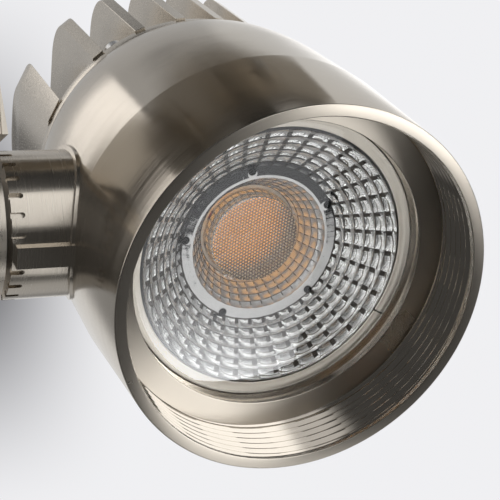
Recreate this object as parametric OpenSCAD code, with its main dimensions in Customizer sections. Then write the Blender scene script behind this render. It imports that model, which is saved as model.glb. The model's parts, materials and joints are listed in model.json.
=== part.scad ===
// Track lighting fixture: driver adapter, swivelling arm, tilting knuckle and LED spot head.
// Frame: the origin is on the adapter's track seat, on the pan axis. +Z is up, towards the
// track, and +X points from the arm to the head. The head looks towards -Y and down.

/* [Head] */
// Outer radius of the front rim
rim_r = 34.5; // [30:0.5:40]
// Largest radius of the housing, at its slope break
belly_r = 35.5; // [31:0.5:42]
// Distance from the tilt axis forward to the rim
rim_z = 37; // [30:1:45]
// Distance of the slope break behind the rim
belly_back = 25; // [18:1:32]
// Length of the housing, from rim to rear face
housing_len = 61; // [52:1:70]
// Crest radius of the front accessory thread
thread_r = 32.2; // [28:0.1:37]
// Pitch of the front accessory thread
thread_pitch = 1.8; // [1.2:0.1:2.2]
// Turns of the front accessory thread
thread_turns = 6; // [3:1:6]
// Radius of the bore that holds the optic
optic_bore_r = 27.7; // [24:0.1:29]
// Downward pitch of the head at rest
head_pitch = 30; // [0:15:60]

/* [Optic] */
// Radius of the lens's faceted flank, under its flange
lens_r = 24.9; // [20:0.1:25]
// Height of the lens, front face to rear rim
lens_h = 23.4; // [18:0.1:25]
// Radius of the light-emitting surface
glow_r = 7.5; // [4:0.5:9]
// Width of the split in the seat ring
split_w = 0.6; // [0.3:0.1:1.5]

/* [Heat sink] */
// Number of fins
fin_count = 8; // [6:2:10]
// Spacing of the fins
fin_pitch = 8.4; // [7:0.1:9]
// Thickness of a fin
fin_t = 2; // [1.4:0.1:3]
// Radius of the envelope round the fins
fin_env_r = 32.2; // [28:0.1:34]
// Length of the fins
fin_len = 32; // [24:1:40]
// Radius of the fins' rear corners
fin_corner_r = 8.5; // [4:0.5:10]

/* [Knuckle] */
// Radius of the tilt boss
boss_r = 13.6; // [12:0.1:14]
// Distance from the head axis to the boss's free end
boss_reach = 46.2; // [42:0.1:50]
// Gap between the boss and the arm's hub
knuckle_gap = 1; // [0.6:0.1:2]
// Angle between the boss's notches
notch_step = 15; // [10:5:30]
// Length of a notch
notch_len = 2.4; // [1.5:0.1:3]
// Radius of the hollow tilt axle
axle_r = 5; // [4:0.25:6]
// Tilt travel each way from rest
tilt_travel = 60; // [30:5:75]

/* [Arm] */
// Thickness of the arm across the knuckle
arm_t = 14.2; // [13:0.1:20]
// Depth of the arm, front to back
arm_d = 29.2; // [26:0.2:32]
// Height of the adapter's track seat above the tilt axis
tilt_drop = 105; // [98:1:130]

/* [Adapter] */
// Length of the adapter along the track
adapter_l = 120; // [110:5:160]
// Width of the adapter
adapter_w = 36; // [34:1:42]
// Height of the adapter
adapter_h = 30; // [28:1:40]
// Distance from the adapter's end to the pan axis
pan_inset = 30; // [26:1:40]
// Distance from the pan axis to the turret
turret_x = 66; // [62:1:70]

/* [Hidden] */
$fn = 64;

hub_face_x = 5.7;
arm_x1 = 6.2;
arm_x0 = arm_x1 - arm_t;
boss_end_x = hub_face_x + knuckle_gap;
head_x = boss_end_x + boss_reach;
tilt_z = -tilt_drop;
foot_flare = 0.9;
foot_h = 10;

// Stations along the head axis, measured from the tilt axis, forward positive
belly_z = rim_z - belly_back;
rear_z = rim_z - housing_len;
rear_r = 31.6;
thread_depth = 0.9;
thread_flat = 0.35;
thread_end_z = rim_z - 0.4 - thread_turns * thread_pitch;
ledge_z = thread_end_z - 0.8;
lens_front_z = ledge_z - 2.6;
lens_flange_t = 1.6;
lens_flange_r = optic_bore_r - 0.2;
lens_bevel = 0.9;
ring_t = 1.3;
ring_front_z = lens_front_z - lens_flange_t;
lens_rear_z = lens_front_z - lens_h;
// the flank steps in at a flat shelf, which stands on pegs in the holder
lens_shelf_z = lens_rear_z + 10.2;
lens_shelf_r = [15.4, 13.2];
lens_rear_r = 9.4;
lens_pegs = [30 : 72 : 359];
peg_r = 0.8;
puck_r = optic_bore_r - 0.15;
board_t = 1.6;
pad_t = 0.4;
board_front_z = lens_rear_z - 2.6;
puck_front_z = board_front_z - board_t - pad_t;
led_holder_front_z = lens_rear_z + 1.2;
flange_t = 4;
fin_root_z = rear_z - flange_t;
fin_rear_z = fin_root_z - fin_len;
sink_screw_x = 2 * fin_pitch;
sink_screw_r = 29.6;
led_screw_x = 15;
lead_r = 0.8;
lead_gap = 1.15;   // half the spacing of the two leads

// Knuckle
axle_fit = 0.05;
axle_bore_r = 2.9;
hub_web_x = -3;
web_t = 5.2;
stop_ring_r = 10.4;
stop_pin_r = 1.2;
boss_cavity_r = 9;
boss_screw_z = 11.3;
bar_w = 4;
bar_h = 1.5;
collar_t = 0.6;

// Arm and pan pivot
post_bottom_z = tilt_z + boss_r + 0.6;
collar_h = 2.7;
pan_gap = 0.3;
post_top_z = -adapter_h - pan_gap - collar_h;
post_cap_t = 7;
channel_w = 15;
channel_x = 3.5;
cover_t = 2;
cover_screw_z = [post_top_z - 9, post_bottom_z + 9];
case_wall = 2.2;
case_floor = 3;
floor_z = -adapter_h + case_floor;
pan_stop_r = 10.5;
pan_pin_r = 1;

// Adapter
case_x0 = -pan_inset;
case_x1 = adapter_l - pan_inset;
lid_t = 2.4;
lid_screw_in = 4.2;
pcb_z = -17;
pcb_t = 1.6;
pcb_x0 = case_x0 + 9;
pcb_x1 = turret_x - 9;
pcb_w = adapter_w - 2 * case_wall - 1.6;
pcb_screw_in = 3.4;
pcb_hole_r = 4;
turret_shaft_r = 5;
wiper_x = turret_x - turret_shaft_r - 0.7;
lever_z = -adapter_h - pan_gap;
lever_t = 3;

metal = [0.66, 0.62, 0.56];
dark = [0.16, 0.16, 0.17];
steel = [0.72, 0.73, 0.74];
brass = [0.80, 0.64, 0.32];

// ---------- helpers ----------

module head_frame() {
    translate([head_x, 0, tilt_z]) rotate([90 + head_pitch, 0, 0]) children();
}

// Turns +Z to +X, at a station on the tilt axis
module on_tilt_axis(x) {
    translate([x, 0, tilt_z]) rotate([0, 90, 0]) children();
}

module ring(r_out, r_in, h) {
    difference() {
        cylinder(r = r_out, h = h);
        translate([0, 0, -1]) cylinder(r = r_in, h = h + 2);
    }
}

module rounded_rect(w, d, r) {
    square([w - 2 * r, d], center = true);
    square([w, d - 2 * r], center = true);
    for (sx = [-1, 1], sy = [-1, 1])
        translate([sx * (w / 2 - r), sy * (d / 2 - r)]) circle(r = r);
}

// Pan-head screw along +Z with its head below the origin plane
module screw(shank_r, shank_l, head_r, head_h) {
    difference() {
        union() {
            translate([0, 0, -head_h]) cylinder(r = head_r, h = head_h);
            cylinder(r = shank_r, h = shank_l);
        }
        translate([0, 0, -head_h - 1]) cylinder(r = head_r * 0.5, h = 1 + head_h * 0.6, $fn = 6);
    }
}

module rod(a, b, r) {
    v = b - a;
    l = norm(v);
    translate(a) rotate([0, acos(v[2] / l), atan2(v[1], v[0])]) cylinder(r = r, h = l, $fn = 24);
}

// Round lead through a list of points
module lead(points, r = lead_r) {
    for (i = [0 : len(points) - 2]) rod(points[i], points[i + 1], r);
    for (i = [1 : len(points) - 2]) translate(points[i]) sphere(r = r * 1.08, $fn = 24);
}

// ---------- head ----------

// Points of a quarter ellipse from [r0, z0] to [r1, z1]
function shoulder(r0, z0, r1, z1, n) =
    [for (i = [1 : n]) let (a = 90 * i / n)
        [r1 + (r0 - r1) * cos(a), z0 + (z1 - z0) * sin(a)]];

function housing_outer(grow) = concat(
    [[0, rim_z + grow], [rim_r - 0.7, rim_z + grow], [rim_r + grow, rim_z - 0.8],
     [belly_r + grow, belly_z], [belly_r - 0.3 + grow, belly_z - 15]],
    shoulder(belly_r - 0.3 + grow, belly_z - 15, rear_r + grow, rear_z, 8),
    [[0, rear_z]]);

function thread_profile() = [for (i = [0 : thread_turns - 1])
    let (z = rim_z - 0.4 - i * thread_pitch)
    each [[thread_r, z], [thread_r, z - thread_flat],
          [thread_r + thread_depth, z - thread_pitch / 2],
          [thread_r + thread_depth, z - thread_pitch / 2 - 0.2]]];

module housing_body(grow) {
    rotate_extrude($fn = 128) polygon(housing_outer(grow));
}

module housing_bore() {
    rotate_extrude($fn = 128) polygon(concat(
        [[0, rim_z + 1], [thread_r + 0.35, rim_z + 1], [thread_r + 0.35, rim_z]],
        thread_profile(),
        [[thread_r, thread_end_z], [thread_r, thread_end_z - thread_flat],
         [thread_r + 0.3, thread_end_z - thread_flat - 0.1],
         [thread_r + 0.3, ledge_z], [optic_bore_r, ledge_z], [optic_bore_r, rear_z - 1],
         [0, rear_z - 1]]));
}

module head_housing() color(metal) head_frame() difference() {
    housing_body(0);
    housing_bore();
    // lead way and boss screws through the flank
    rotate([0, -90, 0]) cylinder(r = 4, h = 50);
    for (s = [-1, 1]) translate([0, 0, s * boss_screw_z]) rotate([0, -90, 0]) {
        cylinder(r = 1.6, h = 50);
        cylinder(r = 2.7, h = optic_bore_r + 2.3);
    }
    for (sx = [-1, 1], sy = [-1, 1]) sink_screw_at(sx, sy) translate([0, 0, -1])
        cylinder(r = 1.25, h = 9);
}

// Rear screw places, pointing forward from the housing's rear face
module sink_screw_at(sx, sy) {
    translate([sx * sink_screw_x, sy * sqrt(sink_screw_r ^ 2 - sink_screw_x ^ 2), rear_z])
        children();
}

// One fin, cut by the round envelope, with its rear corners rounded
module fin(x) {
    half = sqrt(fin_env_r ^ 2 - (abs(x) - fin_t / 2) ^ 2) + 0.15;
    corner = min(fin_corner_r, half - 0.5);
    intersection() {
        translate([x - fin_t / 2, 0, 0]) rotate([90, 0, 90]) linear_extrude(fin_t) {
            translate([-half, fin_rear_z + corner]) square([2 * half, fin_len - corner + 0.5]);
            translate([-half + corner, fin_rear_z]) square([2 * (half - corner), fin_len]);
            for (s = [-1, 1]) translate([s * (half - corner), fin_rear_z + corner])
                circle(r = corner);
        }
        translate([0, 0, fin_rear_z - 1]) cylinder(r = fin_env_r, h = fin_len + 2, $fn = 128);
    }
}

module heat_sink() color(metal) head_frame() difference() {
    union() {
        translate([0, 0, fin_root_z]) cylinder(r = rear_r + 0.2, h = flange_t, $fn = 128);
        translate([0, 0, rear_z]) cylinder(r = puck_r, h = puck_front_z - rear_z, $fn = 128);
        for (i = [0 : fin_count - 1]) fin((i - (fin_count - 1) / 2) * fin_pitch);
    }
    for (sx = [-1, 1], sy = [-1, 1]) sink_screw_at(sx, sy) translate([0, 0, -flange_t - 1])
        cylinder(r = 1.6, h = flange_t + 2);
    for (s = [-1, 1]) translate([s * led_screw_x, 0, puck_front_z - 6]) cylinder(r = 1.05, h = 7);
    // lead notch down the puck's flank
    translate([-puck_r - 1, -3, puck_front_z - 4]) cube([9, 6, 5]);
}

module heat_sink_screws() color(steel) head_frame()
    for (sx = [-1, 1], sy = [-1, 1]) sink_screw_at(sx, sy) translate([0, 0, -flange_t])
        screw(1.25, flange_t + 7.5, 2.2, 1.9);

module thermal_pad() color([0.55, 0.58, 0.62]) head_frame()
    translate([-9.5, -9.5, puck_front_z]) cube([19, 19, pad_t]);

module led_board() color([0.93, 0.93, 0.90]) head_frame()
    translate([-9.5, -9.5, puck_front_z + pad_t]) cube([19, 19, board_t]);

module led_phosphor() color([1.0, 0.72, 0.20]) head_frame()
    translate([0, 0, board_front_z]) cylinder(r = glow_r, h = 0.8);

module led_holder() color([0.9, 0.9, 0.88]) head_frame() difference() {
    translate([0, 0, puck_front_z]) cylinder(r = 19, h = led_holder_front_z - puck_front_z);
    translate([0, 0, board_front_z - 1]) cylinder(r = lens_rear_r + 0.6, h = 20);
    translate([0, 0, lens_rear_z - 0.3]) cylinder(r = lens_rear_r + 2.2, h = 20);
    translate([-9.7, -9.7, puck_front_z - 1]) cube([19.4, 19.4, pad_t + board_t + 1]);
    for (s = [-1, 1]) translate([s * led_screw_x, 0, puck_front_z - 1]) {
        cylinder(r = 1.3, h = 20);
        translate([0, 0, led_holder_front_z - puck_front_z - 1.4]) cylinder(r = 2.5, h = 10);
    }
    for (s = [-1, 1]) translate([-20, s * 4 - 1.1, board_front_z - 1]) cube([13, 2.2, 10]);
}

module led_holder_screws() color(steel) head_frame()
    for (s = [-1, 1]) translate([s * led_screw_x, 0, led_holder_front_z - 2.4])
        rotate([180, 0, 0]) screw(1.05, 6, 2.1, 1.6);

// Outline of the lens's reflecting flank, from the flange down to the rear rim
function flank(grow) = concat(
    [for (i = [0 : 6]) let (t = i / 6)
        [lens_shelf_r[0] + grow + (lens_r - lens_shelf_r[0]) * pow(1 - t, 1.08),
         ring_front_z + (lens_shelf_z - ring_front_z) * t]],
    [for (i = [0 : 5]) let (t = i / 5)
        [lens_rear_r + grow + (lens_shelf_r[1] - lens_rear_r) * pow(1 - t, 1.2),
         lens_shelf_z + (lens_rear_z - lens_shelf_z) * t]]);

module lens_peg_places() {
    for (a = lens_pegs) rotate([0, 0, a]) translate([14.3, 0, lens_shelf_z]) children();
}

module lens() color([0.85, 0.9, 0.95, 0.4]) head_frame() {
    rotate_extrude($fn = 96) polygon(concat(
        [[0, lens_front_z], [lens_flange_r - lens_bevel, lens_front_z],
         [lens_flange_r, lens_front_z - lens_bevel], [lens_flange_r, ring_front_z]],
        flank(0),
        [[lens_rear_r - 0.5, lens_rear_z], [lens_rear_r - 0.8, lens_rear_z + 6.3],
         [lens_rear_r - 3.4, lens_rear_z + 5.9], [lens_rear_r - 6, lens_rear_z + 5.6],
         [0, lens_rear_z + 5.4]]));
    lens_peg_places() translate([0, 0, -1]) cylinder(r = peg_r, h = 2, $fn = 24);
}

module lens_holder() color(dark) head_frame() difference() {
    rotate_extrude($fn = 96) polygon(concat(
        [for (p = flank(0.5)) if (p[1] > led_holder_front_z && p[1] < ring_front_z - ring_t) p],
        [[lens_rear_r + 2.3, led_holder_front_z], [lens_rear_r + 3.8, led_holder_front_z],
         [lens_shelf_r[1] + 3, lens_shelf_z - 3], [lens_shelf_r[0] + 3, lens_shelf_z - 1.5],
         [lens_r + 1, ring_front_z - ring_t - 3], [lens_flange_r - 0.3, ring_front_z - ring_t - 1.5],
         [lens_flange_r - 0.3, ring_front_z - ring_t], [lens_r + 0.9, ring_front_z - ring_t]]));
    lens_peg_places() translate([0, 0, -1.2]) cylinder(r = peg_r + 0.1, h = 3, $fn = 24);
    // clip windows
    for (a = [0 : 120 : 359]) rotate([0, 0, a + 90])
        translate([lens_r - 4.5, -3, ring_front_z - ring_t - 5.5]) cube([6, 6, 3.4]);
}

// Split spring ring that sprung out in the bore carries the lens's flange
module lens_seat_ring() color(metal) head_frame() difference() {
    translate([0, 0, ring_front_z - ring_t]) ring(optic_bore_r - 0.1, lens_r + 0.4, ring_t,
        $fn = 128);
    rotate([0, 0, -28]) translate([lens_r - 3, -split_w / 2, ring_front_z - ring_t - 1])
        cube([8, split_w, ring_t + 2]);
}

// ---------- knuckle, turning with the head ----------

module boss_notch(angle) {
    rotate([0, 0, angle]) translate([boss_r - 1, 0, -1]) {
        translate([0, -0.5, 0]) cube([3, 1, notch_len + 0.5]);
        translate([0, 0, notch_len + 0.5]) rotate([0, 90, 0]) cylinder(r = 0.5, h = 3, $fn = 24);
    }
}

// Boss frame: +Z runs from the free end towards the head and -Y of the row is turned
// to the head's forward direction
module boss_frame() {
    head_frame() translate([-boss_reach, 0, 0]) rotate([0, 90, 0]) children();
}

module tilt_boss() color(metal) difference() {
    union() {
        boss_frame() cylinder(r = boss_r, h = boss_reach - 20, $fn = 96);
        // index bar along the forward side
        boss_frame() translate([-boss_r - bar_h, -bar_w / 2, 0.5])
            cube([bar_h + 3, bar_w, boss_reach - 25]);
        intersection() {
            boss_frame() cylinder(r = boss_r + 0.8, h = boss_reach - 20, $fn = 96);
            head_frame() housing_body(collar_t);
        }
    }
    head_frame() housing_body(0);
    boss_frame() {
        translate([0, 0, -1]) cylinder(r = axle_r, h = 20);
        translate([0, 0, web_t]) cylinder(r = boss_cavity_r, h = 40);
        for (i = [1 : round(360 / notch_step) - 1]) boss_notch(180 + i * notch_step);
        // arc for the stop pin, open round the rest position of the pin
        rotate([0, 0, -tilt_travel - 9]) rotate_extrude(angle = 2 * (tilt_travel + 9))
            translate([stop_ring_r - 1.5, -1]) square([3, 3]);
    }
    for (s = [-1, 1]) head_frame() translate([-boss_reach + 6, 0, s * boss_screw_z])
        rotate([0, 90, 0]) cylinder(r = 1.25, h = 20);
}

module boss_screws() color(steel) head_frame()
    for (s = [-1, 1]) translate([-optic_bore_r - 2.3, 0, s * boss_screw_z]) rotate([0, -90, 0])
        screw(1.25, 9.5, 2.4, 1.8);

module tilt_axle() color(steel) difference() {
    union() {
        on_tilt_axis(hub_web_x - 2.4) cylinder(r = 8.4, h = 1.7);
        on_tilt_axis(hub_web_x - 0.8) cylinder(r = axle_r, h = boss_end_x - hub_web_x + web_t + 5);
    }
    on_tilt_axis(hub_web_x - 4) cylinder(r = axle_bore_r, h = 40);
    for (s = [-1, 1]) on_tilt_axis(hub_web_x - 3) translate([-1, s * 5.9 - 1.2, 0])
        cube([2, 2.4, 1.6]);
}

module tilt_spring_washer() color(steel)
    on_tilt_axis(hub_web_x - 0.7) ring(7.6, axle_r, 0.4);

module tilt_friction_washer() color(dark)
    on_tilt_axis(boss_end_x - 0.7) ring(8, axle_r, 0.7);

module tilt_nut() color(steel) on_tilt_axis(boss_end_x + web_t) difference() {
    cylinder(r = 8.4, h = 3.5, $fn = 6);
    translate([0, 0, -1]) cylinder(r = axle_r, h = 6);
}

// One head lead, from the tilt axle to the LED board
module head_lead() lead([
    [-head_x - 5.2, -lead_gap, 0], [-optic_bore_r + 0.5, -lead_gap, 0],
    [-22.5, -3.4, board_front_z + 1.2], [-17, -4, board_front_z + 1.2],
    [-9.5, -4, board_front_z + 0.8]]);

module head_lead_live() color([0.75, 0.08, 0.06]) head_frame() mirror([0, 1, 0]) head_lead();

module head_lead_return() color([0.05, 0.05, 0.06]) head_frame() head_lead();

// ---------- arm ----------

module arm_post() color(metal) difference() {
    union() {
        translate([arm_x0 + arm_t / 2, 0, post_bottom_z])
            linear_extrude(post_top_z - post_bottom_z) rounded_rect(arm_t, arm_d, 1);
        // the flank flares at its foot
        translate([0, arm_d / 2 - 0.5, 0]) rotate([90, 0, 0]) linear_extrude(arm_d - 1)
            polygon([[0, post_bottom_z], [arm_x1 + foot_flare, post_bottom_z],
                     [arm_x1, post_bottom_z + foot_h], [0, post_bottom_z + foot_h]]);
        on_tilt_axis(arm_x0) cylinder(r = boss_r, h = hub_face_x - arm_x0, $fn = 96);
        translate([arm_x0, -10, tilt_z]) cube([hub_face_x - arm_x0, 20, boss_r + 2]);
    }
    on_tilt_axis(arm_x0 - 1) cylinder(r = 10.6, h = hub_web_x - arm_x0 + 1);
    on_tilt_axis(0) translate([0, 0, -10]) cylinder(r = axle_r + axle_fit, h = 20);
    // lead channel, open to the cover
    translate([arm_x0 - 1, -channel_w / 2, post_bottom_z + 2])
        cube([channel_x - arm_x0 + 1, channel_w, post_top_z - post_bottom_z - post_cap_t - 2]);
    translate([arm_x0 - 1, -5, tilt_z]) cube([4, 10, boss_r + 4]);
    // pan tube and the stop pin's seat
    translate([0, 0, post_top_z - post_cap_t - 1]) cylinder(r = axle_r, h = post_cap_t + 2);
    stop_pin_place(hub_face_x - 4) cylinder(r = stop_pin_r, h = 5);
    for (z = cover_screw_z, s = [-1, 1]) translate([arm_x0 - 1, s * 11, z]) rotate([0, 90, 0])
        cylinder(r = 1.05, h = 8);
}

// Places the stop pin opposite the middle of the boss's arc
module stop_pin_place(x) {
    translate([x, 0, tilt_z]) rotate([head_pitch, 0, 0]) translate([0, stop_ring_r, 0])
        rotate([0, 90, 0]) children();
}

module tilt_stop_pin() color(steel)
    stop_pin_place(hub_face_x - 4) cylinder(r = stop_pin_r, h = 4 + knuckle_gap + 1.5);

module arm_cover() color(metal) difference() {
    union() {
        translate([arm_x0 - cover_t, 0, 0]) rotate([90, 0, 90]) linear_extrude(cover_t) {
            translate([-13, post_bottom_z]) square([26, post_top_z - post_bottom_z - 1.6]);
            translate([-12.4, tilt_z]) square([24.8, boss_r + 2]);
            translate([0, tilt_z]) circle(r = 12.4);
        }
    }
    for (z = cover_screw_z, s = [-1, 1]) translate([arm_x0 - cover_t - 1, s * 11, z])
        rotate([0, 90, 0]) cylinder(r = 1.3, h = 8);
}

module arm_cover_screws() color(steel) for (z = cover_screw_z, s = [-1, 1])
    translate([arm_x0 - cover_t, s * 11, z]) rotate([0, 90, 0]) screw(1.05, 7, 1.7, 1.1);

module swivel_collar() color(metal)
    translate([0, 0, post_top_z]) ring(15, axle_r, collar_h, $fn = 96);

module pan_tube() color(steel)
    translate([0, 0, post_top_z - post_cap_t + 0.5]) ring(axle_r, axle_bore_r,
        -adapter_h - post_top_z + post_cap_t + 9.5);

module pan_stop_washer() color(steel) translate([0, 0, floor_z + pan_gap]) difference() {
    union() {
        cylinder(r = 8, h = 1);
        translate([0, -1.5, 0]) cube([pan_stop_r + 0.8, 3, 1]);
    }
    translate([0, 0, -1]) cylinder(r = axle_r, h = 3);
}

module pan_spring_washer() color(steel)
    translate([0, 0, floor_z + pan_gap + 1]) ring(7.6, axle_r, 0.7);

module pan_nut() color(brass) translate([0, 0, floor_z + pan_gap + 1.7]) difference() {
    cylinder(r = 8.4, h = 3.2, $fn = 6);
    translate([0, 0, -1]) cylinder(r = axle_r, h = 6);
}

function arm_lead_path(side) = [
    [hub_web_x - 2.9, side * lead_gap, tilt_z], [arm_x0 + 0.9, side * lead_gap, tilt_z],
    [arm_x0 + 0.9, side * lead_gap, tilt_z + 16],
    [0, side * lead_gap, post_top_z - post_cap_t - 6], [0, side * lead_gap, -adapter_h + 9]];

module arm_lead_live() color([0.75, 0.08, 0.06]) lead(arm_lead_path(1));

module arm_lead_return() color([0.05, 0.05, 0.06]) lead(arm_lead_path(-1));

// ---------- adapter ----------

module adapter_plan(inset, r) {
    translate([(case_x0 + case_x1) / 2, 0]) rounded_rect(adapter_l - 2 * inset,
        adapter_w - 2 * inset, r);
}

module lid_screw_places() {
    for (x = [case_x0 + lid_screw_in, case_x1 - lid_screw_in], s = [-1, 1])
        translate([x, s * (adapter_w / 2 - lid_screw_in), 0]) children();
}

module pcb_screw_places() {
    for (x = [pcb_x0 + pcb_screw_in, pcb_x1 - pcb_screw_in], s = [-1, 1])
        translate([x, s * (pcb_w / 2 - pcb_screw_in), 0]) children();
}

module adapter_case() color(metal) difference() {
    union() {
        difference() {
            translate([0, 0, -adapter_h]) linear_extrude(adapter_h - lid_t) adapter_plan(0, 3);
            translate([0, 0, floor_z]) linear_extrude(adapter_h) adapter_plan(case_wall, 1);
        }
        lid_screw_places() translate([0, 0, floor_z - 1]) cylinder(r = 2.9, h = -lid_t - floor_z + 1);
        pcb_screw_places() translate([0, 0, floor_z - 1]) cylinder(r = 2.6, h = pcb_z - floor_z + 1);
    }
    lid_screw_places() translate([0, 0, -12]) cylinder(r = 1.05, h = 20);
    pcb_screw_places() translate([0, 0, pcb_z - 6]) cylinder(r = 1.05, h = 20);
    translate([0, 0, -adapter_h - 1]) cylinder(r = axle_r + axle_fit, h = 10);
    translate([turret_x, 0, -adapter_h - 1]) cylinder(r = turret_shaft_r + axle_fit, h = 10);
    translate([-pan_stop_r, 0, -adapter_h + 1]) cylinder(r = pan_pin_r, h = 10);
}

module pan_stop_pin() color(steel)
    translate([-pan_stop_r, 0, -adapter_h + 1]) cylinder(r = pan_pin_r, h = case_floor + 1);

module adapter_lid() color(metal) difference() {
    translate([0, 0, -lid_t]) linear_extrude(lid_t) adapter_plan(0, 3);
    translate([turret_x, 0, -10]) cylinder(r = turret_shaft_r + axle_fit, h = 20);
    lid_screw_places() {
        translate([0, 0, -10]) cylinder(r = 1.3, h = 20);
        translate([0, 0, -1.5]) cylinder(r = 2.2, h = 5);
    }
}

module adapter_lid_screws() color(steel) lid_screw_places() translate([0, 0, -1.5])
    rotate([180, 0, 0]) screw(1.05, 8, 2.1, 1.3);

module driver_board() color([0.10, 0.35, 0.16]) difference() {
    translate([pcb_x0, -pcb_w / 2, pcb_z]) cube([pcb_x1 - pcb_x0, pcb_w, pcb_t]);
    pcb_screw_places() translate([0, 0, pcb_z - 1]) cylinder(r = 1.3, h = 4);
    translate([0, 0, pcb_z - 1]) cylinder(r = pcb_hole_r, h = 4);
}

module driver_board_screws() color(steel) pcb_screw_places() translate([0, 0, pcb_z + pcb_t])
    rotate([180, 0, 0]) screw(1.05, 6, 1.9, 1.3);

module transformer() color([0.15, 0.15, 0.13]) translate([26, 0, pcb_z + pcb_t]) {
    translate([-8, -9, 0]) cube([16, 18, 2]);
    translate([-6, -8, 2]) cube([12, 16, 7]);
    translate([-8, -9, 9]) cube([16, 18, 1.6]);
}

module capacitors() color([0.12, 0.12, 0.2]) {
    for (x = [-11, 42]) translate([x, 7.5, pcb_z + pcb_t]) cylinder(r = 4, h = 11);
    translate([-11, -7.5, pcb_z + pcb_t]) cylinder(r = 3.2, h = 9);
}

module driver_chips() color([0.05, 0.05, 0.05]) {
    translate([11, -5, pcb_z + pcb_t]) cube([5, 10, 1.8]);
    translate([38.5, -10, pcb_z + pcb_t]) cube([6, 5, 2.4]);
}

module terminal_block() color([0.15, 0.4, 0.2]) translate([47, -6.5, pcb_z + pcb_t]) difference() {
    cube([7, 13, 8]);
    for (s = [-1, 1]) translate([2, 6.5 + s * 3 - 1.4, 1.6]) cube([6, 2.8, 2.8]);
}

module adapter_leads() color([0.8, 0.8, 0.78]) {
    for (s = [-1, 1]) {
        lead([[0, s * lead_gap, -adapter_h + 9.6], [0, s * 2.6, pcb_z + pcb_t + 3],
              [4, s * 3.2, pcb_z + pcb_t + 3], [7, s * 3.2, pcb_z + pcb_t + 0.8]]);
        lead([[turret_x - 16, s * 3, pcb_z + pcb_t + 3], [turret_x - 9, s * 3, pcb_z + pcb_t + 3],
              [wiper_x - 0.5, s * 3, -9]]);
    }
}

module turret_wipers() color(brass) for (s = [-1, 1])
    translate([wiper_x, s * 3 - 1.2, -10]) cube([0.6, 2.4, 10 - lid_t]);

// ---------- track lock ----------

module turret() color([0.9, 0.9, 0.88]) translate([turret_x, 0, 0]) difference() {
    union() {
        translate([0, 0, lever_z]) cylinder(r = turret_shaft_r, h = -lever_z + 1);
        translate([-3.6, -8.5, 0.3]) cube([7.2, 17, 8.7]);
    }
    translate([0, 0, lever_z - 1]) cylinder(r = 1.25, h = 9);
    for (s = [-1, 1]) translate([-1.6, s * 7 - 2, 3.2]) cube([3.2, 4, 2.4]);
}

module turret_contacts() color(brass) translate([turret_x, 0, 0])
    for (s = [-1, 1]) translate([-1.5, s * 7.5 - 2, 3.3]) cube([3, 4, 2.2]);

module lock_lever() color(metal) translate([turret_x, 0, lever_z - lever_t]) difference() {
    union() {
        cylinder(r = 7, h = lever_t);
        translate([-20, -3.5, 0]) cube([20, 7, lever_t]);
        translate([-20, 0, 0]) cylinder(r = 3.5, h = lever_t);
    }
    translate([0, 0, -1]) cylinder(r = 1.5, h = 10);
}

module lock_lever_screw() color(steel) translate([turret_x, 0, lever_z - lever_t])
    screw(1.25, lever_t + 6, 2.6, 1.6);

// ---------- output ----------

head_housing();
heat_sink();
heat_sink_screws();
thermal_pad();
led_board();
led_phosphor();
led_holder();
led_holder_screws();
lens();
lens_holder();
lens_seat_ring();
tilt_boss();
boss_screws();
tilt_axle();
tilt_nut();
tilt_spring_washer();
tilt_friction_washer();
head_lead_live();
head_lead_return();
arm_post();
arm_cover();
arm_cover_screws();
tilt_stop_pin();
swivel_collar();
pan_tube();
pan_nut();
pan_spring_washer();
pan_stop_washer();
arm_lead_live();
arm_lead_return();
adapter_case();
adapter_lid();
adapter_lid_screws();
pan_stop_pin();
driver_board();
driver_board_screws();
transformer();
capacitors();
driver_chips();
terminal_block();
adapter_leads();
turret_wipers();
turret();
turret_contacts();
lock_lever();
lock_lever_screw();
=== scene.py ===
"""Track lighting fixture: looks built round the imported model."""
import json
import math

import bmesh
import bpy
from mathutils import Matrix, Vector

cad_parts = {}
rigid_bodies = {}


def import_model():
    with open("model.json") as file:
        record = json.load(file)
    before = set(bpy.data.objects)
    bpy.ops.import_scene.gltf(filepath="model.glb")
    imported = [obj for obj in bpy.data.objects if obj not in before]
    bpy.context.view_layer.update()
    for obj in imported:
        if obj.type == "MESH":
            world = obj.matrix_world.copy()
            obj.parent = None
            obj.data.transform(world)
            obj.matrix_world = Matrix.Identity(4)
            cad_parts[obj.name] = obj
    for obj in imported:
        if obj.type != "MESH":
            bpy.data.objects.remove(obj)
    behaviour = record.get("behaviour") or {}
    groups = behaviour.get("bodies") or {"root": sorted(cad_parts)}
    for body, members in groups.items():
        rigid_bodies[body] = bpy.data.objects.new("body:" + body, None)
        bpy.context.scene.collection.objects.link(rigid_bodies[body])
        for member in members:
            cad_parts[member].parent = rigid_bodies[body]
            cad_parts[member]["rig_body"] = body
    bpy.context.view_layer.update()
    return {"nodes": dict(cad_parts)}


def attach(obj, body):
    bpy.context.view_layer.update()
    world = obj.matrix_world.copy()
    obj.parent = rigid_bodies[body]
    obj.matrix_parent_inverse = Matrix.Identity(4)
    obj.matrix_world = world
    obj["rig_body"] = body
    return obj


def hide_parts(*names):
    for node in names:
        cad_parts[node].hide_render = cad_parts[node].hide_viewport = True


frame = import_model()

MM = 0.001

# The head's own frame: x to the row's +X, y to the top of the head, z out of its front
HEAD = Matrix.Translation((0.0529, 0, -0.105)) @ Matrix.Rotation(math.radians(120), 4, "X")
ROW = Matrix.Identity(4)

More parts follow.
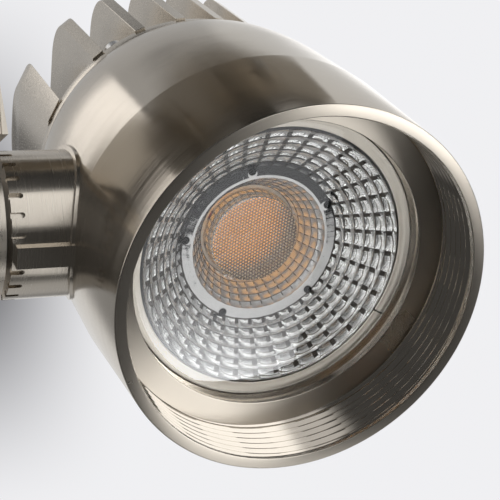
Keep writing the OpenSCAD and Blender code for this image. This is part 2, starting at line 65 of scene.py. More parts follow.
# Stations in the head frame, in millimetres
RIM_Z, RIM_R = 37.0, 34.5
BELLY_Z, BELLY_R = 12.0, 35.5
SHOULDER_Z, SHOULDER_R = -3.0, 35.2
REAR_Z, REAR_R = -24.0, 31.6
LEDGE_Z, BORE_R = 25.0, 27.7
THREAD_R, THREAD_PITCH, THREAD_DEPTH = 32.2, 1.8, 0.9
LENS_Z, LENS_REAR_Z = 22.4, -1.0
SEAT_Z, SHELF_Z = 20.8, 9.2
COLUMNS = 36
MICRO_PITCH = 0.64
SPLIT_ANGLE = -28
SINK_FACE_Z, SINK_NOSE_Z = -28.0, -5.6
FLANGE_R, FLANK_TOP_R = 27.5, 25.1
SHELF_OUTER_R, SHELF_INNER_R = 15.2, 13.6
CAVITY_RIM_R, CAVITY_R, CAVITY_FLOOR_R, DISC_R, DISC_DEPTH = 9.4, 8.9, 8.65, 8.4, 5.4

# Material slots of the lens
CLEAR, FACET, PAINTED_SHADE, TEXTURED, SHELF, INNER = range(6)
# Material slots of the housing
TURNED, FACED, THREADED = range(3)


# ---------- node helpers ----------

class Nodes:
    """A short way to write a node tree."""

    def __init__(self, tree):
        self.tree = tree
        tree.nodes.clear()

    def add(self, kind, inputs=None, **settings):
        node = self.tree.nodes.new(kind)
        for key, value in settings.items():
            setattr(node, key, value)
        for key, value in (inputs or {}).items():
            self.put(node.inputs[key], value)
        return node

    def put(self, socket, value):
        if isinstance(value, bpy.types.NodeSocket):
            self.tree.links.new(value, socket)
        elif isinstance(value, (tuple, list)) and len(value) < len(socket.default_value):
            socket.default_value = (*value, 1)
        else:
            socket.default_value = value

    def span(self, value, low, high, to_low, to_high, smooth=False):
        kind = "SMOOTHSTEP" if smooth else "LINEAR"
        return self.add("ShaderNodeMapRange", {
            "Value": value, "From Min": low, "From Max": high,
            "To Min": to_low, "To Max": to_high}, interpolation_type=kind).outputs["Result"]

    def mix(self, factor, a, b):
        node = self.add("ShaderNodeMix", data_type="RGBA")
        self.put(node.inputs[0], factor)
        self.put(node.inputs[6], a)
        self.put(node.inputs[7], b)
        return node.outputs[2]

    def maths(self, how, *values):
        return self.add("ShaderNodeMath", dict(enumerate(values)), operation=how).outputs[0]

    def noise(self, where, scale, detail=3, rough=0.6):
        return self.add("ShaderNodeTexNoise", {
            "Vector": where, "Scale": scale, "Detail": detail, "Roughness": rough}).outputs["Fac"]

    def stretch(self, scale):
        where = self.add("ShaderNodeTexCoord").outputs["Object"]
        return self.add("ShaderNodeMapping", {"Vector": where, "Scale": scale}).outputs["Vector"]


def shade(colour, amount):
    return tuple(min(1, c * amount) for c in colour)


def finish_material(n, material, **inputs):
    names = {key.replace("_", " "): value for key, value in inputs.items()}
    bsdf = n.add("ShaderNodeBsdfPrincipled", names)
    n.add("ShaderNodeOutputMaterial", {"Surface": bsdf.outputs["BSDF"]})
    return material


def start_material(name):
    material = bpy.data.materials.new(name)
    material.use_nodes = True
    return material, Nodes(material.node_tree)


def brushed(name, colour, lines, rough=0.3, aniso=0.0, axis=None, bump=0.25, turn=0.25):
    """Brushed metal. lines is how often the brush marks change along x, y and z, per metre."""
    material, n = start_material(name)
    marks = n.noise(n.stretch(lines), 1.0, 4, 0.7)
    blotch = n.noise(n.stretch((60, 60, 60)), 1.0, 3)
    inputs = {
        "Base_Color": n.mix(marks, n.mix(blotch, shade(colour, 0.84), shade(colour, 0.96)),
                            n.mix(blotch, shade(colour, 0.98), shade(colour, 1.12))),
        "Roughness": n.span(marks, 0.3, 0.7, rough - 0.05, rough + 0.05),
        "Metallic": 1.0,
        "Normal": n.add("ShaderNodeBump", {
            "Height": marks, "Strength": bump, "Distance": 0.00004}).outputs["Normal"],
    }
    if axis:
        inputs["Tangent"] = n.add(
            "ShaderNodeTangent", direction_type="RADIAL", axis=axis).outputs["Tangent"]
        inputs["Anisotropic"] = aniso
        inputs["Anisotropic_Rotation"] = turn
    return finish_material(n, material, **inputs)


def cast(name, colour, rough=0.42, grain=2600, bump=0.35):
    """Plated metal over a fine cast surface."""
    material, n = start_material(name)
    fine = n.noise(n.stretch((grain,) * 3), 1.0, 3)
    soft = n.noise(n.stretch((90,) * 3), 1.0, 3)
    return finish_material(
        n, material, Base_Color=n.mix(soft, shade(colour, 0.88), shade(colour, 1.06)),
        Roughness=n.span(fine, 0.3, 0.7, rough - 0.06, rough + 0.1), Metallic=1.0,
        Normal=n.add("ShaderNodeBump", {
            "Height": fine, "Strength": bump, "Distance": 0.00005}).outputs["Normal"])


def moulded(name, colour, rough=0.4, grain=1800, bump=0.15, **extra):
    """Plastic, rubber or lacquer with a fine grain and a slight change of tone."""
    material, n = start_material(name)
    fine = n.noise(n.stretch((grain,) * 3), 1.0, 2)
    soft = n.noise(n.stretch((120,) * 3), 1.0, 2)
    return finish_material(
        n, material, Base_Color=n.mix(soft, shade(colour, 0.88), shade(colour, 1.08)),
        Roughness=n.span(fine, 0.3, 0.7, rough - 0.05, rough + 0.08),
        Normal=n.add("ShaderNodeBump", {
            "Height": fine, "Strength": bump, "Distance": 0.00004}).outputs["Normal"], **extra)


# ---------- mesh helpers ----------

def piece(name, mesh, materials, node, place=ROW, sharp=30):
    """Links a mesh as a piece that stands for a CAD node and rides on that node's body."""
    for material in materials:
        mesh.materials.append(material)
    mesh.polygons.foreach_set("use_smooth", [True] * len(mesh.polygons))
    if sharp:
        mesh.set_sharp_from_angle(angle=math.radians(sharp))
    obj = bpy.data.objects.new(name, mesh)
    bpy.context.scene.collection.objects.link(obj)
    obj.matrix_world = place
    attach(obj, frame["nodes"][node]["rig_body"])
    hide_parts(node)
    return obj


def mesh_of(name, points, faces):
    """A mesh from points in millimetres, with its faces turned outwards."""
    mesh = bpy.data.meshes.new(name)
    mesh.from_pydata([tuple(c * MM for c in p) for p in points], [], faces)
    bm = bmesh.new()
    bm.from_mesh(mesh)
    bmesh.ops.recalc_face_normals(bm, faces=bm.faces)
    bm.to_mesh(mesh)
    bm.free()
    return mesh


def fillet(points, radius, count=4, radii=None):
    """Rounds the corners of a closed outline. radii gives some corners their own radius."""
    out = []
    size = len(points)
    for i, corner in enumerate(points):
        r = (radii or {}).get(i, radius)
        p = Vector(corner)
        a = Vector(points[i - 1]) - p
        b = Vector(points[(i + 1) % size]) - p
        bend = math.pi - a.angle(b)
        if r <= 0 or bend < 0.05:
            out.append(tuple(p))
            continue
        reach = min(r * math.tan(bend / 2), a.length * 0.45, b.length * 0.45)
        start, end = p + a.normalized() * reach, p + b.normalized() * reach
        for k in range(count + 1):
            t = k / count
            out.append(tuple(start * (1 - t) ** 2 + p * 2 * t * (1 - t) + end * t ** 2))
    return out


def lathe(name, outline, steps=256, grow=None):
    """Turns a closed (radius, height) outline round z. grow(row, angle) adds to the radius."""
    angles = [2 * math.pi * k / steps for k in range(steps)]
    points, rows = [], []
    for i, (r, z) in enumerate(outline):
        if r < 1e-6:
            rows.append([len(points)] * steps)
            points.append((0, 0, z))
            continue
        rows.append(list(range(len(points), len(points) + steps)))
        for a in angles:
            rr = r + (grow(i, a) if grow else 0)
            points.append((rr * math.cos(a), rr * math.sin(a), z))
    faces = []
    for i, row in enumerate(rows):
        nxt = rows[(i + 1) % len(rows)]
        if row[0] == row[1] and nxt[0] == nxt[1]:
            continue
        for k in range(steps):
            m = (k + 1) % steps
            face = [row[k], row[m], nxt[m], nxt[k]]
            faces.append(list(dict.fromkeys(face)))
    return mesh_of(name, points, faces)


def bevel(obj, width, segments=2, angle=35):
    mod = obj.modifiers.new("edges", "BEVEL")
    mod.width, mod.segments = width * MM, segments
    mod.limit_method, mod.angle_limit = "ANGLE", math.radians(angle)
    mod.harden_normals = True
    return obj


def refine(node, material, width=0.15, sharp=30):
    """A copy of a CAD node with clean faces, rounded edges and a finish."""
    mesh = frame["nodes"][node].data.copy()
    mesh.materials.clear()
    bm = bmesh.new()
    bm.from_mesh(mesh)
    bmesh.ops.remove_doubles(bm, verts=bm.verts, dist=1e-6)
    bmesh.ops.dissolve_limit(bm, angle_limit=math.radians(0.4), verts=bm.verts, edges=bm.edges)
    bm.to_mesh(mesh)
    bm.free()
    for attribute in ("custom_normal", "sharp_face"):
        if attribute in mesh.attributes:
            mesh.attributes.remove(mesh.attributes[attribute])
    obj = piece(node + ".finished", mesh, [material], node, sharp=sharp)
    return bevel(obj, width) if width else obj


# ---------- materials ----------

NICKEL = (0.60, 0.55, 0.48)
turned = brushed("nickel_turned", NICKEL, (34, 34, 2500), 0.14, 0.75, "Z", bump=0.22)
cut = brushed("nickel_cut", NICKEL, (22, 22, 5200), 0.13, 0.5, "Z", bump=0.03)
faced = brushed("nickel_faced", NICKEL, (22, 22, 5200), 0.30, 0.97, "Z", bump=0.15)
# Painted light: the seat ring's nickel is 1.35 times brighter than the rest, to make up for light
# that the lens holds off it
ring_nickel_painted_light = cast("nickel_ring_painted_light", shade(NICKEL, 1.35), 0.40, 1800, 0.2)
boss_nickel = brushed("nickel_boss", NICKEL, (4800, 60, 60), 0.24, 0.8, "X")
cast_nickel = cast("nickel_cast", shade(NICKEL, 0.95), 0.20, bump=0.2)
arm_nickel = brushed("nickel_arm", shade(NICKEL, 0.97), (2600, 2600, 40), 0.30, bump=0.35)
case_nickel = brushed("nickel_case", shade(NICKEL, 0.97), (40, 2600, 2600), 0.30, bump=0.35)
steel = cast("zinc_steel", (0.60, 0.60, 0.60), 0.30, 3200, 0.2)
brass = cast("brass_plain", (0.78, 0.58, 0.26), 0.28, 3200, 0.2)
black = moulded("plastic_black", (0.030, 0.030, 0.032), 0.35)
white = moulded("plastic_white", (0.80, 0.80, 0.78), 0.38)
pad = moulded("pad_grey", (0.40, 0.43, 0.48), 0.7, 900, 0.3)
solder = moulded("mask_white", (0.82, 0.82, 0.79), 0.30)
board = moulded("mask_green", (0.03, 0.16, 0.06), 0.30, 700, 0.3)
core = moulded("core_tape", (0.42, 0.30, 0.07), 0.35)
sleeve = moulded("sleeve_dark", (0.03, 0.03, 0.07), 0.28)
epoxy = moulded("epoxy_black", (0.02, 0.02, 0.02), 0.5)
terminal = moulded("terminal_green", (0.05, 0.26, 0.08), 0.4)
red_lead = moulded("lead_red", (0.50, 0.03, 0.02), 0.35)
peg_black = moulded("peg_black", (0.006, 0.006, 0.006), 0.6, Specular_IOR_Level=0.12)
black_lead = moulded("lead_black", (0.02, 0.02, 0.02), 0.35)
white_lead = moulded("lead_white", (0.75, 0.75, 0.72), 0.35)
# Painted glow: the unlit phosphor is given an amber emission, standing in for light that the lens
# keeps from it
glow = moulded("phosphor_amber_painted_glow", (0.90, 0.48, 0.10), 0.35, 2600, 0.2,
               Emission_Color=(1.0, 0.48, 0.12), Emission_Strength=0.70)


def clear_acrylic():
    """The lens's clear front and flange."""
    material, n = start_material("acrylic_clear")
    haze = n.noise(n.stretch((700,) * 3), 1.0, 2)
    return finish_material(n, material, Base_Color=(0.97, 0.98, 0.98), IOR=1.49,
                           Roughness=n.span(haze, 0.3, 0.8, 0.0, 0.02),
                           Transmission_Weight=1.0)


def shelf_haze():
    """The lens's smooth shelf, seen from the front: part mirror, part milky haze."""
    material, n = start_material("acrylic_shelf")
    tone = n.noise(n.stretch((260,) * 3), 1.0, 3)
    return finish_material(n, material, Metallic=0.45,
                           Base_Color=n.mix(tone, (0.74, 0.74, 0.73), (0.90, 0.89, 0.88)),
                           Roughness=n.span(tone, 0.3, 0.7, 0.12, 0.24))


def facet_mirror():
    """A mirror, which stands in for total internal reflection at the outer facets."""
    material, n = start_material("acrylic_facets")
    tone = n.noise(n.stretch((260,) * 3), 1.0, 3)
    return finish_material(n, material, Metallic=1.0,
                           Base_Color=n.mix(tone, (0.78, 0.78, 0.77), (0.92, 0.92, 0.91)),
                           Roughness=n.span(tone, 0.3, 0.7, 0.03, 0.10))


def inner_facets():
    """The steep facets round the centre: part mirror, part milky haze."""
    material, n = start_material("acrylic_inner_facets")
    tone = n.noise(n.stretch((260,) * 3), 1.0, 3)
    return finish_material(n, material, Metallic=0.55,
                           Base_Color=n.mix(tone, (0.70, 0.70, 0.70), (0.86, 0.86, 0.85)),
                           Roughness=n.span(tone, 0.3, 0.7, 0.04, 0.12))


def textured_acrylic():
    """The lens's centre: fine diamonds that blur and scatter the glow behind them. Their colour is
    painted: an amber glow on the domes and near-black painted shade between them, which also tints
    the light passing through.
    """
    material, n = start_material("acrylic_textured_painted_glow")
    place = n.add("ShaderNodeSeparateXYZ", {
        "Vector": n.add("ShaderNodeTexCoord").outputs["Object"]}).outputs
    total = 0
    for cx, cy in ((1, 0), (0.5, 0.866), (0.5, -0.866)):
        wave = 4 * math.pi / (math.sqrt(3) * MICRO_PITCH * MM)
        phase = n.maths("ADD", n.maths("MULTIPLY", place["X"], cx * wave),
                        n.maths("MULTIPLY", place["Y"], cy * wave))
        total = n.maths("ADD", total, n.maths("COSINE", phase))
    # Painted glow and painted shade: amber on the domes, near-black between them
    painted_glow_mask = n.span(total, -1.2, 2.2, 0, 1, True)
    tone = n.noise(n.stretch((500,) * 3), 1.0, 3)
    return finish_material(n, material, Base_Color=n.mix(painted_glow_mask, (0.10, 0.06, 0.04),
                                                         (1.0, 0.78, 0.46)),
                           IOR=1.49, Roughness=n.span(tone, 0.3, 0.7, 0.02, 0.06),
                           Transmission_Weight=0.86)


clear = clear_acrylic()
facets = facet_mirror()
shelf = shelf_haze()
inner = inner_facets()
# Painted shade: a near-black colour on the clear acrylic, for the dark steps between facets and the
# dark side of each cell
facet_painted_shade = moulded("acrylic_step_painted_shade", (0.050, 0.042, 0.034), 0.2)
textured = textured_acrylic()


# ---------- head ----------

def make_housing():
    shoulder_steps = 20
    shoulder = []
    for k in range(1, shoulder_steps + 1):
        a = math.radians(90 * k / shoulder_steps)
        shoulder.append((REAR_R + (SHOULDER_R - REAR_R) * math.cos(a),
                         SHOULDER_Z + (REAR_Z - SHOULDER_Z) * math.sin(a)))
    corners = [(THREAD_R + 0.2, RIM_Z), (RIM_R, RIM_Z), (BELLY_R, BELLY_Z),
               (SHOULDER_R, SHOULDER_Z), *shoulder, (BORE_R, REAR_Z), (BORE_R, LEDGE_Z),
               (THREAD_R + 0.3, LEDGE_Z)]
    on_shoulder = range(4, 3 + shoulder_steps)
    outline = fillet(corners, 0.2, 3, {0: 0.15, 1: 0.3, 2: 0.12, 3: 0, len(corners) - 3: 0.3,
                                       **{k: 0 for k in on_shoulder}})
    bottom, top, gap = LEDGE_Z + 0.45, RIM_Z - 0.4, 0.12
    first = len(outline)
    count = int((top - bottom) / gap)
    heights = [bottom + k * gap for k in range(count + 1)]
    outline += [(THREAD_R, z) for z in heights]

    def groove(row, angle):
        """Depth of the helical thread at one point of the front wall."""
        if row < first:
            return 0
        z = heights[row - first]
        turn = (z / THREAD_PITCH - angle / (2 * math.pi)) % 1
        depth = min(1, max(0, (0.5 - abs(turn - 0.5)) / 0.40 - 0.12))
        fade = min(1, (z - bottom) / 0.9, (top - z) / 0.7)
        return THREAD_DEPTH * depth * max(0, fade)

    mesh = lathe("housing", outline, 288, groove)
    for face in mesh.polygons:
        front = face.center.z > (LEDGE_Z - 1) * MM
        inner_wall = math.hypot(face.center.x, face.center.y) < (THREAD_R + 1) * MM
        slot = FACED if face.normal.z > 0.8 else THREADED if inner_wall else TURNED
        face.material_index = slot if front else TURNED
    return piece("housing", mesh, [turned, faced, cut], "head_housing", HEAD, sharp=38)


def fin_outline(x, root, rear, env, corner):
    """Outline of a fin's face at x, as (y, z), with its rear corners rounded."""
    half = math.sqrt(env ** 2 - x ** 2)
    r = min(corner, half - 0.5)
    outline = [(-half, root)]
    for side in (-1, 1):
        arc = [(side * (half - r + r * math.cos(a)), rear + r - r * math.sin(a))
               for a in (math.radians(90 * k / 14) for k in range(15))]
        outline += arc if side < 0 else arc[::-1]
    return outline + [(half, root)]


def make_heat_sink():
    count, pitch, thick, env, corner = 8, 8.4, 2.0, 32.2, 8.5
    root, rear = SINK_FACE_Z, -60.0
    plug_r, flange_r = BORE_R - 0.15, REAR_R + 0.2
    outline = [(0, REAR_Z), (0, root), (flange_r, root), (flange_r, REAR_Z), (plug_r, REAR_Z),
               (plug_r, SINK_NOSE_Z), (0, SINK_NOSE_Z)]
    body = lathe("sink_plug", fillet(outline, 0.25, 3, {0: 0, 1: 0, 6: 0}), 192)
    bm = bmesh.new()
    bm.from_mesh(body)
    for i in range(count):
        x = (i - (count - 1) / 2) * pitch
        sides = []
        for face_x in (x - thick / 2, x + thick / 2):
            sides.append([bm.verts.new((face_x * MM, y * MM, z * MM)) for y, z in
                          fin_outline(face_x, root + 0.4, rear, env, corner)])
        low, high = sides
        bm.faces.new(low)
        bm.faces.new(high[::-1])
        for k in range(len(low)):
            m = (k + 1) % len(low)
            bm.faces.new((low[m], low[k], high[k], high[m]))
    bmesh.ops.recalc_face_normals(bm, faces=bm.faces)
    bm.to_mesh(body)
    bm.free()
    obj = piece("heat_sink_fins", body, [cast_nickel], "heat_sink", HEAD)
    return bevel(obj, 0.3, 3, 50)


def make_seat_ring():
    low, high, inner = SEAT_Z - 1.3, SEAT_Z - 0.06, 25.3
    outline = fillet([(inner, low), (BORE_R - 0.1, low), (BORE_R - 0.1, high), (inner, high)],
                     0.25, 3)
    steps, gap, centre = 240, 0.3 / 26, math.radians(SPLIT_ANGLE)
    points, faces, size = [], [], len(outline)
    for k in range(steps + 1):
        a = centre + gap / 2 + (2 * math.pi - gap) * k / steps
        points += [(r * math.cos(a), r * math.sin(a), z) for r, z in outline]
    for k in range(steps):
        for i in range(size):
            m = (i + 1) % size
            faces.append([k * size + i, k * size + m, (k + 1) * size + m, (k + 1) * size + i])
    faces += [list(range(size)), list(range(steps * size, (steps + 1) * size))]
    return piece("seat_ring", mesh_of("seat_ring", points, faces), [ring_nickel_painted_light],
                 "lens_seat_ring", HEAD)


def outer_flank(t):
    return 15.4 + 9.5 * (1 - t) ** 1.08, SEAT_Z + (SHELF_Z - SEAT_Z) * t


def inner_flank(t):
    return 9.4 + 3.8 * (1 - t) ** 1.2, SHELF_Z + (LENS_REAR_Z - SHELF_Z) * t


def hex_pattern(x, y, pitch):
    """Height from -1 to 1 of a honeycomb of small domes."""
    w = 4 * math.pi / (math.sqrt(3) * pitch)
    return (math.cos(w * x) + math.cos(w * (x / 2 + 0.866 * y))
            + math.cos(w * (x / 2 - 0.866 * y))) / 1.5 - 1


def make_lens():
    """One closed moulding.

    A row is (radius, height, bulge across a column, height of the texture, material slot of the
    band below it, place along its facet).
    """
    along_parts, across_parts = 6, 12
    # Painted shade: the step band below each facet, and a strip down one side of each cell over its
    # second half, take the near-black material; nothing is cut there
    shade_strip_widths = {FACET: 3, INNER: 1}
    shade_strip_from = along_parts // 2
    steps = COLUMNS * across_parts
    rows = [(r, LENS_Z, 0, 0, CLEAR, 0) for r in (0, 8, 16, 24, 26.6)]
    rows += [(r, z, 0, 0, CLEAR, 0) for r, z in (
        (FLANGE_R, LENS_Z - 0.9), (FLANGE_R, SEAT_Z), (FLANK_TOP_R, SEAT_Z))]
    for shape, count, step, along, across in ((outer_flank, 6, 0.16, 0.06, 0.26),
                                              (inner_flank, 5, 0.10, 0.06, 0.15)):
        for i in range(count):
            for k in range(along_parts + 1):
                u = k / along_parts
                r, z = shape((i + u) / count)
                bulge = along * (1 - (2 * u - 1) ** 2) + step * (u - 0.5)
                facet = FACET if shape is outer_flank else INNER
                rows.append((r + bulge, z, across * (0.35 + 0.65 * (1 - (2 * u - 1) ** 4)), 0,
                             PAINTED_SHADE if k == along_parts else facet, k))
        if shape is outer_flank:
            rows += [(r, SHELF_Z, 0.05, 0, SHELF, 0) for r in (SHELF_OUTER_R, SHELF_INNER_R)]
    floor_z = LENS_REAR_Z + DISC_DEPTH
    rows += [(CAVITY_RIM_R, LENS_REAR_Z, 0, 0, CLEAR, 0), (CAVITY_R, LENS_REAR_Z, 0, 0, CLEAR, 0),
             (CAVITY_FLOOR_R, LENS_REAR_Z + 5.9, 0, 0, TEXTURED, 0)]
    rings = 84
    for k in range(rings):
        r = DISC_R * (1 - k / rings)
        rows.append((r, floor_z + 0.9 * (r / DISC_R) ** 2, 0, 0.06, TEXTURED, 0))
    rows.append((0, floor_z, 0, 0, TEXTURED, 0))
    points, index = [], []
    for r, z, across, texture, *_ in rows:
        if r < 1e-6:
            index.append([len(points)] * steps)
            points.append((0, 0, z))
            continue
        index.append(list(range(len(points), len(points) + steps)))
        for k in range(steps):
            a = 2 * math.pi * k / steps
            v = 2 * (k % across_parts) / across_parts - 1
            rr = r + across * (1 - v * v)
            x, y = rr * math.cos(a), rr * math.sin(a)
            rise = 0
            if texture:
                fade = min(1, (DISC_R - r) / 0.4)
                rise = texture * fade * hex_pattern(x, y, MICRO_PITCH)
            points.append((x, y, z + rise))
    faces, kinds = [], []
    for i in range(len(rows) - 1):
        upper, lower = index[i], index[i + 1]
        for k in range(steps):
            m = (k + 1) % steps
            faces.append(list(dict.fromkeys([upper[k], upper[m], lower[m], lower[k]])))
            slot, place_along = rows[i][4:]
            shade_strip_width = shade_strip_widths.get(slot, 0)
            in_shade_strip = place_along >= shade_strip_from and k % across_parts >= across_parts - shade_strip_width
            kinds.append(PAINTED_SHADE if in_shade_strip else slot)
    mesh = mesh_of("lens", points, faces)
    mesh.polygons.foreach_set("material_index", kinds)
    obj = piece("lens_faceted", mesh, [clear, facets, facet_painted_shade, textured, shelf, inner], "lens",
                HEAD, sharp=30)
    place = {v: (i, k) for i, row in enumerate(index) for k, v in enumerate(row)}
    for edge in mesh.edges:
        (i, k), (j, m) = (place[v] for v in edge.vertices)
        if i != j and k == m and k % across_parts == 0 and rows[i][2] > 0 and rows[j][2] > 0:
            edge.use_edge_sharp = True
    return obj


def make_pegs():
    """Five locating pegs, just proud of the lens's shelf."""
    bm = bmesh.new()
    for angle in range(30, 360, 72):
        a = math.radians(angle)
        place = Matrix.Translation((14.8 * MM * math.cos(a), 14.8 * MM * math.sin(a),
                                    (SHELF_Z - 0.20) * MM))
        bmesh.ops.create_cone(bm, cap_ends=True, segments=28, radius1=0.62 * MM,
                              radius2=0.8 * MM, depth=0.86 * MM, matrix=place)
    mesh = bpy.data.meshes.new("pegs")
    bm.to_mesh(mesh)
    bm.free()
    return bevel(piece("lens_pegs", mesh, [peg_black], "lens", HEAD), 0.1)


housing = make_housing()
heat_sink = make_heat_sink()
make_seat_ring()
lens = make_lens()
make_pegs()

for node, material, width in (
        ("heat_sink_screws", steel, 0.15), ("thermal_pad", pad, 0.1), ("led_board", solder, 0.1),
        ("led_phosphor", glow, 0.2), ("led_holder", white, 0.15), ("led_holder_screws", steel, 0.1),
        ("lens_holder", black, 0), ("tilt_boss", boss_nickel, 0.12), ("boss_screws", steel, 0.1),
        ("tilt_axle", steel, 0.15), ("tilt_nut", steel, 0.2), ("tilt_spring_washer", steel, 0.05),
        ("tilt_friction_washer", black, 0.1), ("head_lead_live", red_lead, 0),
        ("head_lead_return", black_lead, 0), ("arm_post", arm_nickel, 0.3),
        ("arm_cover", arm_nickel, 0.3), ("arm_cover_screws", steel, 0.12),
        ("tilt_stop_pin", steel, 0.15), ("swivel_collar", arm_nickel, 0.3),
        ("pan_tube", steel, 0.15), ("pan_nut", brass, 0.2), ("pan_spring_washer", steel, 0.05),
        ("pan_stop_washer", steel, 0.1), ("arm_lead_live", red_lead, 0),
        ("arm_lead_return", black_lead, 0), ("adapter_case", case_nickel, 0.4),
        ("adapter_lid", case_nickel, 0.3), ("adapter_lid_screws", steel, 0.12),
        ("pan_stop_pin", steel, 0.1), ("driver_board", board, 0.1),
        ("driver_board_screws", steel, 0.1), ("transformer", core, 0.3),
        ("capacitors", sleeve, 0.4), ("driver_chips", epoxy, 0.15),
        ("terminal_block", terminal, 0.2), ("adapter_leads", white_lead, 0),
        ("turret_wipers", brass, 0.1), ("turret", white, 0.4), ("turret_contacts", brass, 0.15),
        ("lock_lever", case_nickel, 0.4), ("lock_lever_screw", steel, 0.12)):
    refine(node, material, width)


# ---------- studio ----------

def make_floor():
    size, count, z = 1.3, 24, -0.34
    line = [size * (2 * k / count - 1) for k in range(count + 1)]
    points = [(x / MM, y / MM, z / MM) for y in line for x in line]
    faces = [[j * (count + 1) + i, j * (count + 1) + i + 1, (j + 1) * (count + 1) + i + 1,
              (j + 1) * (count + 1) + i] for j in range(count) for i in range(count)]
    floor = bpy.data.objects.new("floor", mesh_of("floor", points, faces))
    floor.data.materials.append(moulded("floor_paper", (0.80, 0.80, 0.81), 0.8, 300, 0.05,
                                        Emission_Color=(1, 1, 1), Emission_Strength=0.42))
    bpy.context.scene.collection.objects.link(floor)
    floor.visible_glossy = False
    floor.visible_diffuse = False
    floor.visible_shadow = False


def make_studio():
    """The room as a sky of soft-edged panels, by azimuth from +Y towards +X and by elevation."""
    world = bpy.data.worlds.new("studio")
    world.use_nodes = True
    bpy.context.scene.world = world
    n = Nodes(world.node_tree)
    where = n.add("ShaderNodeTexCoord").outputs["Generated"]
    axes = n.add("ShaderNodeSeparateXYZ", {"Vector": where}).outputs
    azimuth = n.maths("ARCTAN2", axes["X"], axes["Y"])
    elevation = n.maths("ARCSINE", axes["Z"])
    room = (0.28, 0.28, 0.28)
    # azimuth from and to, elevation from and to, softness of the edge, brightness, warmth
    panels = (
        (-200, -62, -99, 99, 12, 0.07, 0), (96, 200, -99, 99, 10, 0.06, 0),
        (-30, 30, 4, 60, 8, 0.50, 0), (-80, -28, 4, 51, 2, 0.0, 0),
        (-80, -24, 51, 76, 2, 0.17, 0.03), (23, 80, 8, 72, 3, 0.72, 0),
        (24, 46, 2, 24, 8, 1.50, 0),
        (-18, 22, -16, 4, 6, 0.85, 0), (-27, 22, 54, 86, 3, 0.01, 0),
        (-17, -4, 4, 12, 2, 0.10, 0),
        (-200, 200, -99, -72, 6, 0.05, 0), (48, 200, 62, 99, 6, 0.04, 0),
        (-200, 200, 76, 99, 4, 0.04, 0),
        (103, 168, -10, 42, 4, 1.70, 0), (166, 184, -10, 42, 4, 0.75, 0),
        (-184, -175, -10, 42, 4, 0.75, 0), (124, 152, -40, -18, 3, 4.5, 0),
        (78, 146, -80, -58, 5, 1.1, 0), (-10, 48, -70, -34, 8, 0.50, 0))
    for az_from, az_to, el_from, el_to, soft, level, warmth in panels:
        inside = 1
        for angle, start, end in ((azimuth, az_from, az_to), (elevation, el_from, el_to)):
            for edge, way in ((start, (0, 1)), (end, (1, 0))):
                ramp = n.span(angle, math.radians(edge - soft), math.radians(edge + soft),
                              *way, True)
                inside = n.maths("MULTIPLY", inside, ramp)
        room = n.mix(inside, room, (level * (1 + warmth), level, level * (1 - warmth)))
    # A darker patch on the backdrop, seen only by the camera, at the left of the main view: a
    # painted shadow of the arm and boss
    low, high, left = (math.radians(a) for a in (-6, 18, 10))
    mid = (low + high) / 2
    painted_shadow = n.maths("MULTIPLY", n.span(elevation, low, mid, 0, 1, True),
                     n.span(elevation, mid, high, 1, 0, True))
    painted_shadow = n.maths("MULTIPLY", painted_shadow, n.span(azimuth, left, left + 0.12, 1, 0, True))
    painted_shadow = n.maths("MULTIPLY", painted_shadow, n.span(azimuth, -left - 0.3, -left, 0, 1, True))
    paper = n.mix(painted_shadow, (0.87, 0.87, 0.89), (0.10, 0.10, 0.11))
    seen = n.add("ShaderNodeBackground", {"Color": paper, "Strength": 1.0})
    lit = n.add("ShaderNodeBackground", {"Color": room, "Strength": 1.0})
    ray = n.add("ShaderNodeLightPath").outputs["Is Camera Ray"]
    both = n.add("ShaderNodeMixShader", {0: ray, 1: lit.outputs[0], 2: seen.outputs[0]})
    n.add("ShaderNodeOutputWorld", {"Surface": both.outputs[0]})


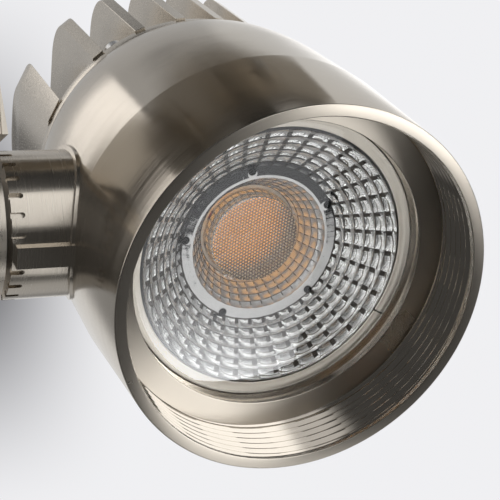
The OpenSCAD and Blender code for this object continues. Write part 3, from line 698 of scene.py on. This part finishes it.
def make_lens_boxes(lens):
    """Soft boxes that light only the lens. The first one veils the left of its clear front."""
    seen_by = bpy.data.collections.new("lens_box_seen_by")
    seen_by.objects.link(lens)
    front = HEAD @ Vector((0, 0, LENS_Z * MM))
    # direction, shift across and along, lean in degrees, width, height, power, fades upwards
    boxes = (((0.34, -0.50, -0.80), -0.060, 0.035, 17, 0.22, 0.30, 2.5, True),
             ((-0.62, -0.74, -0.10), 0, 0, 0, 0.40, 0.50, 1.3, False),
             ((0.85, -0.45, -0.25), 0, 0, 0, 0.30, 0.40, 1.3, False),
             ((-0.15, -0.25, -0.95), 0, 0, 0, 0.25, 0.30, 0.8, False))
    for i, (way, shift, rise, lean, width, height, power, fades) in enumerate(boxes):
        out = Vector(way).normalized()
        across = (Vector((1, 0, 0)) - out * out.x).normalized()
        along = out.cross(across)
        lean = math.radians(lean)
        side = across * math.cos(lean) - along * math.sin(lean)
        light = bpy.data.lights.new(f"lens_box_{i}", "AREA")
        light.shape, light.size, light.size_y = "RECTANGLE", width, height
        light.energy, light.color = power, (0.97, 0.98, 1.0)
        if fades:
            light.use_nodes = True
            n = Nodes(light.node_tree)
            place = n.add("ShaderNodeSeparateXYZ", {
                "Vector": n.add("ShaderNodeNewGeometry").outputs["Parametric"]}).outputs["Y"]
            n.add("ShaderNodeOutputLight", {"Surface": n.add("ShaderNodeEmission", {
                "Strength": n.span(place, 0.28, 0.46, 1.0, 0.12, True)}).outputs[0]})
        obj = bpy.data.objects.new(light.name, light)
        turn = Matrix((side, out.cross(side), out)).transposed().to_4x4()
        obj.matrix_world = Matrix.Translation(
            front + out * 0.5 + across * shift + along * rise) @ turn
        obj.visible_camera = False
        bpy.context.scene.collection.objects.link(obj)
        obj.light_linking.receiver_collection = seen_by


def make_side_box(blockers):
    """A large soft box at the left. Only the head shades it, not the arm or the adapter."""
    azimuth, elevation, distance = math.radians(-54), math.radians(27.5), 3
    out = Vector((math.sin(azimuth) * math.cos(elevation), math.cos(azimuth) * math.cos(elevation),
                  math.sin(elevation)))
    side = Vector((0, 0, 1)).cross(out).normalized()
    light = bpy.data.lights.new("side_box", "AREA")
    light.shape, light.size, light.size_y = "RECTANGLE", 2.9, 2.6
    light.energy, light.color = 30, (1.0, 0.97, 0.94)
    obj = bpy.data.objects.new("side_box", light)
    obj.matrix_world = (Matrix.Translation(Vector((0.05, 0, -0.10)) + out * distance)
                        @ Matrix((side, out.cross(side), out)).transposed().to_4x4())
    obj.visible_camera = False
    bpy.context.scene.collection.objects.link(obj)
    shaded_by = bpy.data.collections.new("side_box_shaded_by")
    for blocker in blockers:
        shaded_by.objects.link(blocker)
    obj.light_linking.blocker_collection = shaded_by


def make_camera():
    place = Vector((-42.64, -243.06, -134.32)) * MM
    ahead = Vector((0.3744, 0.9234, 0.0847)).normalized()
    up = Vector((0.0522, -0.1122, 0.9923))
    right = ahead.cross(up).normalized()
    up = right.cross(ahead)
    camera = bpy.data.objects.new("camera", bpy.data.cameras.new("camera"))
    turn = Matrix((right, up, -ahead)).transposed().to_4x4()
    camera.matrix_world = Matrix.Translation(place) @ turn
    camera.data.sensor_width, camera.data.lens = 36, 97.0
    camera.data.clip_start, camera.data.clip_end = 0.01, 20
    bpy.context.scene.collection.objects.link(camera)
    bpy.context.scene.camera = camera


make_floor()
make_studio()
make_lens_boxes(lens)
make_side_box((housing, heat_sink, lens))
make_camera()
bpy.context.scene.view_settings.view_transform = "Standard"
